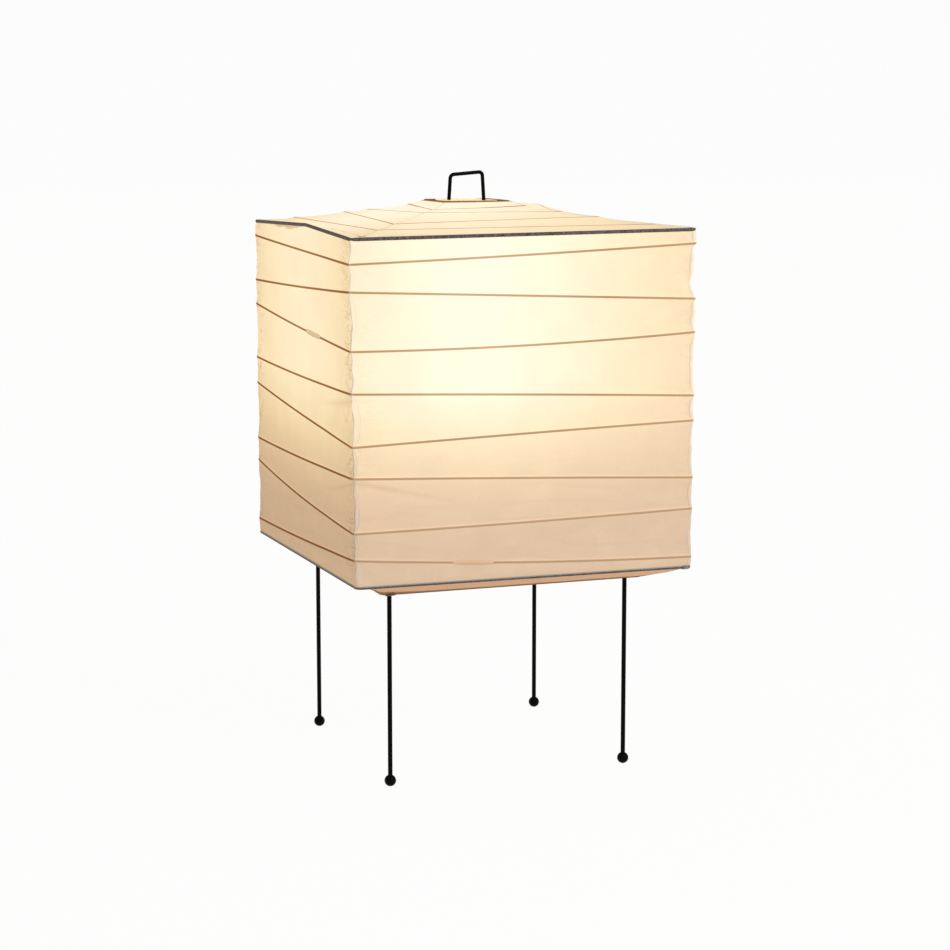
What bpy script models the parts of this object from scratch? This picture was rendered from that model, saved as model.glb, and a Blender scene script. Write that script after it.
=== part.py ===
"""Paper table lamp: a square paper shade on wire ribs, hung from a stretcher with a carrying handle,
over a wire base with four legs, a lampholder and a bulb. Metres, +Z up, standing on z = 0, front at -Y."""

import math

import bmesh
import bpy
from mathutils import Vector

MM = 0.001

# Shade
SHADE_WIDTH = 260 * MM
SHADE_HEIGHT = 249 * MM
HEM_HEIGHT = 156 * MM
ROOF_RISE = 19 * MM
CROWN_WIDTH = 51.5 * MM
NECK_INSET = 12 * MM
NECK_RISE = 4.2 * MM
UNDER_INSET = 28 * MM
UNDER_DROP = 10 * MM
PAPER_THICKNESS = 0.3 * MM
EAVE_KINK = 5 * MM
KINK_REACH = 22 * MM

# Wires
EDGE_WIRE = 2.4 * MM
RING_WIRE = 2.0 * MM
RIB_WIRE = 1.6 * MM
FRAME_WIRE = 3.0 * MM
BEND_RADIUS = 4 * MM
RIB_SAG = 1.5 * MM

# Where each rib crosses the corners, as shares of the shade's height down from the eave:
# front left, front right, back right, back left.
SIDE_RIBS = (
    (0.073, 0.037, 0.068, 0.044),
    (0.152, 0.199, 0.155, 0.185),
    (0.320, 0.297, 0.315, 0.260),
    (0.440, 0.485, 0.446, 0.432),
    (0.592, 0.559, 0.588, 0.513),
    (0.681, 0.730, 0.684, 0.692),
    (0.841, 0.823, 0.845, 0.762),
    (0.919, 0.969, 0.916, 0.955),
)
# The same for the roof, as shares of the way in from the eave to the crown.
ROOF_RIBS = (
    (0.25, 0.20, 0.25, 0.22),
    (0.42, 0.50, 0.43, 0.52),
    (0.75, 0.70, 0.74, 0.66),
    (0.84, 0.90, 0.85, 0.90),
)

# Base
LEG_INSET = 9 * MM
SOCKET_WALL = 1.45 * MM
SOCKET_HEIGHT = 14 * MM
SOCKET_LIFT = 1 * MM
RAIL_LIFT = 6 * MM
LEG_STOP = 3 * MM
BALL_WIDTH = 8.6 * MM
BALL_FLAT = 3 * MM
BALL_FLOOR = 3.9 * MM
BRIDGE_WIDTH = 18 * MM
BRIDGE_THICKNESS = 2 * MM
FERRULE_HEIGHT = 10 * MM

# Stretcher and handle
HANDLE_INSET = 11.5 * MM
HANDLE_HEIGHT = 20.5 * MM
HANDLE_TILT = 2 * MM
HANDLE_FLARE = 1.5 * MM
SHOULDER_WIDTH = 5 * MM
SHOULDER_DROP = 16 * MM
HARP_CLEARANCE = 10.5 * MM
HARP_HEADROOM = 7.5 * MM
HANDLE_BEND = 2.7 * MM

# Lampholder
POST_WIDTH = 10 * MM
POST_WALL = 1.5 * MM
POST_LENGTH = 40 * MM
COLLAR_RIM = 4 * MM
COLLAR_HEIGHT = 3 * MM
NUT_WALL = 1.7 * MM
NUT_HEIGHT = 4 * MM
GLAND_WALL = 2.2 * MM
GLAND_LENGTH = 12 * MM
GLAND_BORE = 6.5 * MM
POST_ENGAGEMENT = 6 * MM
HOLDER_CLEARANCE = 2.5 * MM
HOLDER_WALL = 2.4 * MM
HOLDER_BASE_HEIGHT = 20 * MM
HOLDER_NECK_WALL = 6.7 * MM
HOLDER_SHELL_HEIGHT = 31 * MM
BLOCK_HEIGHT = 6 * MM
CONTACT_WIDTH = 8 * MM
CONTACT_FACE = 5 * MM
CONTACT_HEIGHT = 2 * MM
LINER_WALL = 0.8 * MM

# Bulb
BULB_WIDTH = 60 * MM
BULB_CAP_WIDTH = 26 * MM
BULB_CAP_HEIGHT = 20 * MM
BULB_CAP_WALL = 0.7 * MM
BULB_THREADS = 4
BULB_THREAD_DEPTH = 0.8 * MM
BULB_TIP_WIDTH = 7 * MM
BULB_TIP_FACE = 5 * MM
BULB_TIP_HEIGHT = 1.5 * MM
BULB_INSULATOR_HEIGHT = 4.5 * MM
BULB_GLASS_WALL = 1.0 * MM
BULB_GLASS_HEIGHT = 86 * MM
BULB_SHOULDER_DEG = 130
BULB_SEAT = 6 * MM
BULB_STEM_WIDTH = 5 * MM
BULB_STEM_HEIGHT = 42 * MM

FIT_GAP = 0.3 * MM
TURN_STEPS = 24
WIRE_TURN_STEPS = 12
ARC_STEPS = 9
BEND_STEPS = 3
RUN_SPANS = 3
WIRE_SIDES_FINE = 2
WIRE_SIDES_COARSE = 1
MERGE_DISTANCE = 0.001 * MM
SMOOTH_ANGLE_DEG = 40

# Heights and half widths that follow from the sizes above
EAVE_HEIGHT = HEM_HEIGHT + SHADE_HEIGHT
CROWN_HEIGHT = EAVE_HEIGHT + ROOF_RISE
LOWER_HEIGHT = HEM_HEIGHT - UNDER_DROP
PAPER_HALF = SHADE_WIDTH / 2
EDGE_HALF = PAPER_HALF - EDGE_WIRE / 2
RIB_HALF = PAPER_HALF - PAPER_THICKNESS - FIT_GAP - RIB_WIRE / 2
CROWN_HALF = CROWN_WIDTH / 2
LOWER_HALF = PAPER_HALF - UNDER_INSET
LEG_HALF = LOWER_HALF - LEG_INSET
RAIL_HEIGHT = LOWER_HEIGHT + RAIL_LIFT
SOCKET_BOTTOM = LOWER_HEIGHT + SOCKET_LIFT
FRAME_BORE = FRAME_WIRE / 2 + FIT_GAP
SOCKET_RADIUS = FRAME_BORE + SOCKET_WALL
SOCKET_TOP = SOCKET_BOTTOM + SOCKET_HEIGHT
BRIDGE_BOTTOM = RAIL_HEIGHT + FRAME_WIRE / 2 + FIT_GAP
BRIDGE_TOP = BRIDGE_BOTTOM + BRIDGE_THICKNESS
HARP_HALF = BULB_WIDTH / 2 + HARP_CLEARANCE + FRAME_WIRE / 2
HANDLE_HALF = CROWN_HALF - HANDLE_INSET
YOKE_HALF = HANDLE_HALF + FRAME_WIRE / 2 + FIT_GAP + RING_WIRE / 2
LEDGE_HEIGHT = CROWN_HEIGHT - RING_WIRE / 2 - FIT_GAP - FRAME_WIRE / 2
POST_RADIUS = POST_WIDTH / 2
POST_BORE = POST_RADIUS + FIT_GAP
COLLAR_BOTTOM = BRIDGE_TOP + FIT_GAP
HOLDER_BOTTOM = COLLAR_BOTTOM + POST_LENGTH - POST_ENGAGEMENT
POST_TOP = COLLAR_BOTTOM + POST_LENGTH
NUT_TOP = BRIDGE_BOTTOM - FIT_GAP
NUT_BOTTOM = NUT_TOP - NUT_HEIGHT
GLAND_TOP = NUT_BOTTOM - FIT_GAP
POST_BOTTOM = GLAND_TOP - GLAND_LENGTH / 2
HOLDER_BASE_TOP = HOLDER_BOTTOM + HOLDER_BASE_HEIGHT
BLOCK_BOTTOM = HOLDER_BASE_TOP + FIT_GAP
BLOCK_TOP = BLOCK_BOTTOM + BLOCK_HEIGHT
CONTACT_BOTTOM = BLOCK_TOP + FIT_GAP
BULB_TIP_BOTTOM = CONTACT_BOTTOM + CONTACT_HEIGHT + FIT_GAP
BULB_INSULATOR_BOTTOM = BULB_TIP_BOTTOM + BULB_TIP_HEIGHT + FIT_GAP
BULB_CAP_BOTTOM = BULB_INSULATOR_BOTTOM + BULB_INSULATOR_HEIGHT + FIT_GAP
BULB_CAP_TOP = BULB_CAP_BOTTOM + BULB_CAP_HEIGHT
BULB_NECK_BOTTOM = BULB_CAP_TOP - BULB_SEAT
BULB_TOP = BULB_NECK_BOTTOM + BULB_GLASS_HEIGHT
LINER_BORE = BULB_CAP_WIDTH / 2 + FIT_GAP
LINER_RADIUS = LINER_BORE + LINER_WALL
HOLDER_BORE = LINER_RADIUS + HOLDER_CLEARANCE
HOLDER_RADIUS = HOLDER_BORE + HOLDER_WALL


def material(name, colour, roughness, metallic):
    made = bpy.data.materials.new(name)
    made.use_nodes = True
    shader = made.node_tree.nodes["Principled BSDF"]
    shader.inputs["Base Color"].default_value = (*colour, 1.0)
    shader.inputs["Roughness"].default_value = roughness
    shader.inputs["Metallic"].default_value = metallic
    made.diffuse_color = (*colour, 1.0)
    return made


def carrier(name, height, parent):
    """An empty on the lamp's axis, which the pieces that move together hang from."""
    empty = bpy.data.objects.new(name, None)
    empty.location = (0, 0, height)
    bpy.context.collection.objects.link(empty)
    if parent:
        hang(empty, parent)
    return empty


def hang(piece, parent):
    piece.parent = parent
    bpy.context.view_layer.update()
    piece.matrix_parent_inverse = parent.matrix_world.inverted()


def place(name, data, finish, parent, origin=(0, 0, 0)):
    """A named piece with one finish. Its points are in world metres and move to its own origin."""
    piece = bpy.data.objects.new(name, data)
    data.materials.append(finish)
    piece.location = origin
    bpy.context.collection.objects.link(piece)
    hang(piece, parent)
    return piece


def smooth(mesh):
    mesh.shade_smooth()
    mesh.set_sharp_from_angle(angle=math.radians(SMOOTH_ANGLE_DEG))


def mesh_from(name, shape):
    bmesh.ops.recalc_face_normals(shape, faces=shape.faces)
    mesh = bpy.data.meshes.new(name)
    shape.to_mesh(mesh)
    shape.free()
    return mesh


def wire(name, points, width, finish, parent, closed, detail, origin=(0, 0, 0)):
    """A round wire along points, capped at its ends unless it closes on itself."""
    curve = bpy.data.curves.new(name, "CURVE")
    curve.dimensions = "3D"
    curve.bevel_depth = width / 2
    curve.bevel_resolution = detail
    curve.use_fill_caps = True
    curve.twist_mode = "Z_UP" if closed else "MINIMUM"
    spline = curve.splines.new("POLY")
    spline.points.add(len(points) - 1)
    for slot, point in zip(spline.points, points):
        slot.co = (*(Vector(point) - Vector(origin)), 1)
    spline.use_cyclic_u = closed
    spline.use_smooth = True
    return place(name, curve, finish, parent, origin)


def turned(name, profile, finish, parent, origin=(0, 0, 0), closed=False, steps=TURN_STEPS):
    """A turned piece from (radius, height) points. A closed profile stands clear of the axis."""
    shape = bmesh.new()
    line = [shape.verts.new((radius, 0, height - origin[2])) for radius, height in profile]
    ends = line[1:] + line[:1] if closed else line[1:]
    edges = [shape.edges.new(pair) for pair in zip(line, ends)]
    bmesh.ops.spin(shape, geom=line + edges, axis=(0, 0, 1), cent=(0, 0, 0),
                   angle=math.tau, steps=steps, use_merge=True)
    bmesh.ops.remove_doubles(shape, verts=shape.verts, dist=MERGE_DISTANCE)
    mesh = mesh_from(name, shape)
    smooth(mesh)
    return place(name, mesh, finish, parent, origin)


def sleeve(inner, outer, bottom, top):
    """The profile of a plain tube."""
    return [(inner, bottom), (outer, bottom), (outer, top), (inner, top)]


def solid_rod(radius, bottom, top):
    """The profile of a plain rod."""
    return [(0, bottom), (radius, bottom), (radius, top), (0, top)]


def sheet(name, grid, thickness, finish, parent, origin=(0, 0, 0)):
    """A thin sheet: grid holds the rows of its outer face, and thickness is the way to its inner one."""
    shape = bmesh.new()
    offset = Vector(origin)
    outer = [[shape.verts.new(Vector(p) - offset) for p in row] for row in grid]
    inner = [[shape.verts.new(Vector(p) - offset + Vector(thickness)) for p in row] for row in grid]
    rows, columns = len(grid), len(grid[0])
    for side in (outer, inner):
        for i in range(rows - 1):
            for j in range(columns - 1):
                shape.faces.new((side[i][j], side[i][j + 1], side[i + 1][j + 1], side[i + 1][j]))
    rim = [(0, j) for j in range(columns)]
    rim += [(i, columns - 1) for i in range(1, rows)]
    rim += [(rows - 1, j) for j in reversed(range(columns - 1))]
    rim += [(i, 0) for i in reversed(range(1, rows - 1))]
    for (a, b), (c, d) in zip(rim, rim[1:] + rim[:1]):
        shape.faces.new((outer[a][b], outer[c][d], inner[c][d], inner[a][b]))
    return place(name, mesh_from(name, shape), finish, parent, origin)


def rounded(points, radius, closed):
    """The points with each bend turned into a short curve of about the radius given."""
    path = []
    last = len(points) - 1
    for i, point in enumerate(points):
        here = Vector(point)
        if not closed and i in (0, last):
            path.append(here)
            continue
        before = (Vector(points[i - 1]) - here).normalized() * radius + here
        after = (Vector(points[(i + 1) % len(points)]) - here).normalized() * radius + here
        for k in range(BEND_STEPS + 1):
            t = k / BEND_STEPS
            path.append(before * (1 - t) ** 2 + here * 2 * t * (1 - t) + after * t ** 2)
    return path


def square_loop(halves, heights, sag=0.0):
    """A rounded four-sided loop. halves and heights hold the four corners, sag the droop between them."""
    signs = ((-1, -1), (1, -1), (1, 1), (-1, 1))
    corners = [Vector((x * half, y * half, height)) for (x, y), half, height in zip(signs, halves, heights)]
    bends = rounded(corners, BEND_RADIUS, True)
    each = len(bends) // 4
    path = []
    for i in range(4):
        path += bends[i * each:(i + 1) * each]
        start, end = bends[(i + 1) * each - 1], bends[(i + 1) * each % len(bends)]
        for k in range(1, RUN_SPANS + 1):
            t = k / (RUN_SPANS + 1)
            path.append(start.lerp(end, t) - Vector((0, 0, sag * 4 * t * (1 - t))))
    return path


def roof_height(half):
    """The roof's height at a half width: a long slope, with a steeper neck up to the crown."""
    neck_half = CROWN_HALF + NECK_INSET
    neck_height = CROWN_HEIGHT - NECK_RISE
    if half <= neck_half:
        return CROWN_HEIGHT - NECK_RISE * (half - CROWN_HALF) / NECK_INSET
    return neck_height - (neck_height - EAVE_HEIGHT) * (half - neck_half) / (EDGE_HALF - neck_half)


def under_height(half):
    return LOWER_HEIGHT + UNDER_DROP * (half - LOWER_HALF) / (EDGE_HALF - LOWER_HALF)


def kinked(path):
    """The eave wire, with the raised kink in the middle of its left run."""
    raised = []
    for point in path:
        on_left = point.x < -EDGE_HALF + BEND_RADIUS / 2
        lift = EAVE_KINK * max(0, 1 - abs(point.y) / EDGE_HALF) if on_left else 0
        raised.append(point + Vector((0, 0, lift)))
    return raised


def on_side(side, along, out, height):
    """A point given by its place along a side, its distance out from the axis and its height."""
    return {
        "front": (along, -out, height),
        "right": (out, along, height),
        "back": (-along, out, height),
        "left": (-out, -along, height),
    }[side]


SIDES = ("front", "right", "back", "left")
CORNERS = {"front_left": (-1, -1), "front_right": (1, -1), "back_right": (1, 1), "back_left": (-1, 1)}


def side_papers(finish, lamp):
    top = EAVE_HEIGHT - EDGE_WIRE / 2 - FIT_GAP
    bottom = HEM_HEIGHT + EDGE_WIRE / 2 + FIT_GAP
    for side in SIDES:
        wide = side in ("front", "back")
        reach = PAPER_HALF if wide else PAPER_HALF - PAPER_THICKNESS - FIT_GAP
        peak = EAVE_KINK if side == "left" else 0
        grid = [
            [on_side(side, along, PAPER_HALF, bottom) for along in (-reach, 0, reach)],
            [on_side(side, along, PAPER_HALF, top + lift)
             for along, lift in ((-reach, 0), (0, peak), (reach, 0))],
        ]
        inward = on_side(side, 0, -PAPER_THICKNESS, 0)
        sheet(f"side_paper_{side}", grid, inward, finish, lamp)


def mitred(side, half, height, clip=0.0, lift=0.0):
    """A row of a sheet that meets its neighbours at the hips, shortened by clip and raised in its middle."""
    reach = half - FIT_GAP / math.sqrt(2) - clip
    return [
        on_side(side, -reach, half, height),
        on_side(side, 0, half, height + lift),
        on_side(side, reach, half, height),
    ]


def roof_papers(finish, lamp):
    outer = EDGE_HALF - EDGE_WIRE / 2 - FIT_GAP
    inner = CROWN_HALF + RING_WIRE / 2 + FIT_GAP
    for side in SIDES:
        kink = EAVE_KINK if side == "left" else 0
        grid = [mitred(side, outer, roof_height(outer), BEND_RADIUS, kink)]
        corner = outer - BEND_RADIUS
        grid.append(mitred(side, corner, roof_height(corner), 0, kink * (1 - BEND_RADIUS / KINK_REACH)))
        for half in (outer - KINK_REACH, CROWN_HALF + NECK_INSET, inner):
            grid.append(mitred(side, half, roof_height(half)))
        sheet(f"roof_paper_{side}", grid, (0, 0, -PAPER_THICKNESS), finish, lamp)


def under_papers(finish, carried_by):
    outer = EDGE_HALF - EDGE_WIRE / 2 - FIT_GAP
    inner = LOWER_HALF + RING_WIRE / 2 + FIT_GAP
    for side in SIDES:
        grid = [mitred(side, outer, under_height(outer), BEND_RADIUS)]
        grid += [mitred(side, half, under_height(half)) for half in (outer - BEND_RADIUS, inner)]
        sheet(f"under_paper_{side}", grid, (0, 0, PAPER_THICKNESS), finish, carried_by)


def side_ribs(finish, lamp):
    for number, shares in enumerate(SIDE_RIBS, 1):
        heights = [EAVE_HEIGHT - SHADE_HEIGHT * share for share in shares]
        origin = (0, 0, sum(heights) / len(heights))
        fold = carrier(f"fold_{number}", origin[2], lamp)
        loop = square_loop([RIB_HALF] * 4, heights, RIB_SAG)
        wire(f"side_rib_{number}", loop, RIB_WIRE, finish, fold, True, WIRE_SIDES_COARSE, origin)


def roof_ribs(finish, lamp):
    below = PAPER_THICKNESS + FIT_GAP + RIB_WIRE / 2
    for number, shares in enumerate(ROOF_RIBS, 1):
        halves = [EDGE_HALF - EDGE_WIRE / 2 - (EDGE_HALF - CROWN_HALF) * share for share in shares]
        loop = [
            Vector((p.x, p.y, roof_height(max(abs(p.x), abs(p.y))) - below))
            for p in square_loop(halves, [0] * 4)
        ]
        wire(f"roof_rib_{number}", loop, RIB_WIRE, finish, lamp, True, WIRE_SIDES_COARSE)


def edge_wires(finish, lamp, fold):
    eave = kinked(square_loop([EDGE_HALF] * 4, [EAVE_HEIGHT] * 4))
    wire("eave_wire", eave, EDGE_WIRE, finish, lamp, True, WIRE_SIDES_FINE)
    hem = square_loop([EDGE_HALF] * 4, [HEM_HEIGHT] * 4)
    wire("hem_wire", hem, EDGE_WIRE, finish, fold, True, WIRE_SIDES_FINE)
    lower = square_loop([LOWER_HALF] * 4, [LOWER_HEIGHT] * 4)
    wire("lower_ring", lower, RING_WIRE, finish, fold, True, WIRE_SIDES_FINE)


def crown(finish, lamp):
    """The crown wire, and the yoke inside it whose two long runs hang on the stretcher's shoulders."""
    loop = square_loop([CROWN_HALF] * 4, [CROWN_HEIGHT] * 4)
    wire("crown_wire", loop, RING_WIRE, finish, lamp, True, WIRE_SIDES_FINE)
    reach = CROWN_HALF - RING_WIRE - FIT_GAP
    corners = [(x * YOKE_HALF, y * reach, CROWN_HEIGHT) for x, y in CORNERS.values()]
    wire("crown_yoke", rounded(corners, BEND_RADIUS, True), RING_WIRE, finish, lamp, True, WIRE_SIDES_FINE)


def base_frame(finish, lamp):
    rail_half = LEG_HALF - SOCKET_RADIUS - FIT_GAP
    for side in SIDES:
        run = [on_side(side, end * rail_half, LEG_HALF, RAIL_HEIGHT) for end in (-1, 1)]
        wire(f"base_rail_{side}", run, FRAME_WIRE, finish, lamp, False, WIRE_SIDES_FINE)
    ball = BALL_WIDTH / 2
    flat_angle = math.asin(BALL_FLAT / BALL_WIDTH)
    bore_angle = math.asin(FRAME_BORE / ball)
    centre = ball * math.cos(flat_angle)
    profile = [(0, 0)]
    for k in range(ARC_STEPS):
        turn = flat_angle + (math.pi - flat_angle - bore_angle) * k / (ARC_STEPS - 1)
        profile.append((ball * math.sin(turn), centre - ball * math.cos(turn)))
    profile += [(FRAME_BORE, BALL_FLOOR), (0, BALL_FLOOR)]
    leg = solid_rod(FRAME_WIRE / 2, BALL_FLOOR + FIT_GAP, SOCKET_TOP - LEG_STOP)
    socket = sleeve(FRAME_BORE, SOCKET_RADIUS, SOCKET_BOTTOM, SOCKET_TOP)
    for corner, (x, y) in CORNERS.items():
        at = (x * LEG_HALF, y * LEG_HALF, 0)
        turned(f"leg_socket_{corner}", socket, finish, lamp, at, True, WIRE_TURN_STEPS)
        turned(f"leg_{corner}", leg, finish, lamp, at, False, WIRE_TURN_STEPS)
        turned(f"ball_foot_{corner}", profile, finish, lamp, at, False, WIRE_TURN_STEPS)


def box(name, low, high):
    shape = bmesh.new()
    bmesh.ops.create_cube(shape, size=1)
    for vert in shape.verts:
        vert.co = [low[i] if vert.co[i] < 0 else high[i] for i in range(3)]
    return mesh_from(name, shape)


def rod(name, radius, bottom, top, across):
    """A helper rod at x = across, joined to or cut from another piece."""
    shape = bmesh.new()
    bmesh.ops.create_cone(shape, cap_ends=True, segments=TURN_STEPS, radius1=radius, radius2=radius,
                          depth=top - bottom)
    bmesh.ops.translate(shape, verts=shape.verts, vec=(across, 0, (bottom + top) / 2))
    helper = bpy.data.objects.new(name, mesh_from(name, shape))
    helper.hide_render = True
    helper.display_type = "WIRE"
    bpy.context.collection.objects.link(helper)
    return helper


def combine(piece, helper, operation):
    step = piece.modifiers.new(helper.name, "BOOLEAN")
    step.operation = operation
    step.solver = "EXACT"
    step.object = helper


def bridge(finish, lamp):
    """The strip across the base: it carries the lampholder's post and the stretcher's two ferrules."""
    reach = LEG_HALF + FRAME_WIRE / 2
    half = BRIDGE_WIDTH / 2
    strip = box("lamp_bridge", (-reach, -half, BRIDGE_BOTTOM), (reach, half, BRIDGE_TOP))
    piece = place("lamp_bridge", strip, finish, lamp)
    past = BRIDGE_THICKNESS / 2
    combine(piece, rod("post_hole", POST_BORE, BRIDGE_BOTTOM - past, BRIDGE_TOP + past, 0), "DIFFERENCE")
    for name, side in (("left", -1), ("right", 1)):
        top = BRIDGE_TOP + FERRULE_HEIGHT
        across = side * HARP_HALF
        combine(piece, rod(f"ferrule_{name}", SOCKET_RADIUS, BRIDGE_TOP - past, top, across), "UNION")
        combine(piece, rod(f"ferrule_bore_{name}", FRAME_BORE, BRIDGE_TOP, top + past, across), "DIFFERENCE")


def stretcher(finish, lamp):
    """One bent wire: two uprights from the ferrules, shoulders under the yoke, and the handle above."""
    foot = BRIDGE_TOP + FIT_GAP
    shoulder = YOKE_HALF + SHOULDER_WIDTH
    bend_height = CROWN_HEIGHT - SHOULDER_DROP
    bar_height = CROWN_HEIGHT + HANDLE_HEIGHT
    left = [
        (-HARP_HALF, 0, foot),
        (-HARP_HALF, 0, BULB_TOP + HARP_HEADROOM),
        (-shoulder, 0, bend_height),
        (-shoulder, 0, LEDGE_HEIGHT),
        (-HANDLE_HALF, 0, LEDGE_HEIGHT),
    ]
    right = [(-x, y, z) for x, y, z in reversed(left)]
    grip_half = HANDLE_HALF - HANDLE_FLARE
    bar = [(-grip_half, 0, bar_height - HANDLE_TILT / 2), (grip_half, 0, bar_height + HANDLE_TILT / 2)]
    path = rounded(left + bar + right, HANDLE_BEND, False)
    wire("stretcher_handle", path, FRAME_WIRE, finish, lamp, False, WIRE_SIDES_FINE)


def lampholder(steel, plastic, ceramic, brass, lamp):
    collar = POST_RADIUS + COLLAR_RIM
    collar_top = COLLAR_BOTTOM + COLLAR_HEIGHT
    turned("lamp_post", [
        (POST_RADIUS - POST_WALL, POST_BOTTOM), (POST_RADIUS, POST_BOTTOM), (POST_RADIUS, COLLAR_BOTTOM),
        (collar, COLLAR_BOTTOM), (collar, collar_top), (POST_RADIUS, collar_top),
        (POST_RADIUS, POST_TOP), (POST_RADIUS - POST_WALL, POST_TOP),
    ], steel, lamp, closed=True)
    lock_nut(steel, lamp)
    shelf = POST_BOTTOM - FIT_GAP
    gland = POST_BORE + GLAND_WALL
    gland_bottom = GLAND_TOP - GLAND_LENGTH
    turned("cord_gland", [
        (GLAND_BORE / 2, gland_bottom), (GLAND_BORE / 2 + GLAND_WALL, gland_bottom), (gland, shelf),
        (gland, GLAND_TOP), (POST_BORE, GLAND_TOP), (POST_BORE, shelf), (GLAND_BORE / 2, shelf),
    ], plastic, lamp, closed=True)
    neck = POST_BORE + HOLDER_NECK_WALL
    floor = HOLDER_BOTTOM + POST_ENGAGEMENT
    turned("holder_base", [
        (POST_BORE, HOLDER_BOTTOM), (neck, HOLDER_BOTTOM), (HOLDER_RADIUS, HOLDER_BASE_TOP - HOLDER_WALL),
        (HOLDER_RADIUS, HOLDER_BASE_TOP), (HOLDER_BORE, HOLDER_BASE_TOP),
        (HOLDER_BORE, HOLDER_BASE_TOP - HOLDER_WALL), (neck - HOLDER_WALL, floor), (POST_BORE, floor),
    ], plastic, lamp, closed=True)
    seat = HOLDER_BASE_TOP + FIT_GAP
    shell_top = seat + HOLDER_SHELL_HEIGHT
    turned("holder_shell", sleeve(HOLDER_BORE, HOLDER_RADIUS, seat, shell_top), plastic, lamp, closed=True)
    turned("contact_block", solid_rod(HOLDER_BORE - FIT_GAP, BLOCK_BOTTOM, BLOCK_TOP), ceramic, lamp)
    contact_top = CONTACT_BOTTOM + CONTACT_HEIGHT
    turned("centre_contact", [
        (0, CONTACT_BOTTOM), (CONTACT_WIDTH / 2, CONTACT_BOTTOM),
        (CONTACT_FACE / 2, contact_top), (0, contact_top),
    ], brass, lamp)
    liner = sleeve(LINER_BORE, LINER_RADIUS, BLOCK_TOP + FIT_GAP, shell_top)
    turned("screw_liner", liner, brass, lamp, closed=True)


def lock_nut(finish, lamp):
    """A hexagon nut under the bridge, as a ring whose outer radius follows the six flats."""
    shape = bmesh.new()
    loops = []
    for height in (NUT_BOTTOM, NUT_TOP):
        for hexagon in (True, False):
            loop = []
            for k in range(TURN_STEPS):
                turn = math.tau * k / TURN_STEPS
                off_flat = turn % (math.tau / 6) - math.tau / 12
                radius = (POST_BORE + NUT_WALL) / math.cos(off_flat) if hexagon else POST_BORE
                loop.append(shape.verts.new((radius * math.cos(turn), radius * math.sin(turn), height)))
            loops.append(loop)
    for one, two in ((0, 1), (1, 3), (3, 2), (2, 0)):
        for k in range(TURN_STEPS):
            n = (k + 1) % TURN_STEPS
            shape.faces.new((loops[one][k], loops[one][n], loops[two][n], loops[two][k]))
    place("lock_nut", mesh_from("lock_nut", shape), finish, lamp)


def bulb(glass, metal, black, carried_by):
    origin = (0, 0, BULB_TIP_BOTTOM)
    tip = BULB_TIP_WIDTH / 2
    tip_top = BULB_TIP_BOTTOM + BULB_TIP_HEIGHT
    turned("bulb_contact", [
        (0, BULB_TIP_BOTTOM), (BULB_TIP_FACE / 2, BULB_TIP_BOTTOM), (tip, tip_top), (0, tip_top),
    ], metal, carried_by, origin)
    cap = BULB_CAP_WIDTH / 2
    root = cap - BULB_THREAD_DEPTH
    bore = root - BULB_CAP_WALL
    insulator_top = BULB_INSULATOR_BOTTOM + BULB_INSULATOR_HEIGHT
    turned("bulb_insulator", [
        (0, BULB_INSULATOR_BOTTOM), (tip, BULB_INSULATOR_BOTTOM), (root, insulator_top), (0, insulator_top),
    ], black, carried_by, origin)
    profile = [(bore, BULB_CAP_TOP), (bore, BULB_CAP_BOTTOM), (root, BULB_CAP_BOTTOM)]
    pitch = BULB_CAP_HEIGHT / (BULB_THREADS + 1)
    for k in range(BULB_THREADS):
        start = BULB_CAP_BOTTOM + pitch / 4 + pitch * k
        profile += [(root, start), (cap, start + pitch / 2), (root, start + pitch)]
    profile.append((root, BULB_CAP_TOP))
    turned("bulb_cap", profile, metal, carried_by, origin, closed=True)
    neck = bore - FIT_GAP
    turned("bulb_glass", glass_profile(neck), glass, carried_by, origin)
    flare = neck - BULB_GLASS_WALL - FIT_GAP
    stem = BULB_STEM_WIDTH / 2
    stem_top = BULB_NECK_BOTTOM + BULB_STEM_HEIGHT
    turned("bulb_stem", [
        (0, BULB_NECK_BOTTOM), (flare, BULB_NECK_BOTTOM), (stem, BULB_NECK_BOTTOM + flare - stem),
        (stem, stem_top - stem), (stem / 2, stem_top), (0, stem_top),
    ], glass, carried_by, origin)


def glass_profile(neck):
    """The bulb's envelope: down its inside from the crown to the open neck, and up its outside again."""
    ball = BULB_WIDTH / 2
    centre = BULB_TOP - ball
    waist = BULB_CAP_TOP + FIT_GAP
    turns = [math.radians(BULB_SHOULDER_DEG) * (1 - k / ARC_STEPS) for k in range(ARC_STEPS + 1)]
    faces = []
    for inset in (BULB_GLASS_WALL, 0):
        face = [(neck - inset, BULB_NECK_BOTTOM), (neck - inset, waist)]
        reach = ball - inset
        face += [(reach * math.sin(turn), centre + reach * math.cos(turn)) for turn in turns]
        faces.append(face)
    inside, outside = faces
    return inside[::-1] + outside


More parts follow.
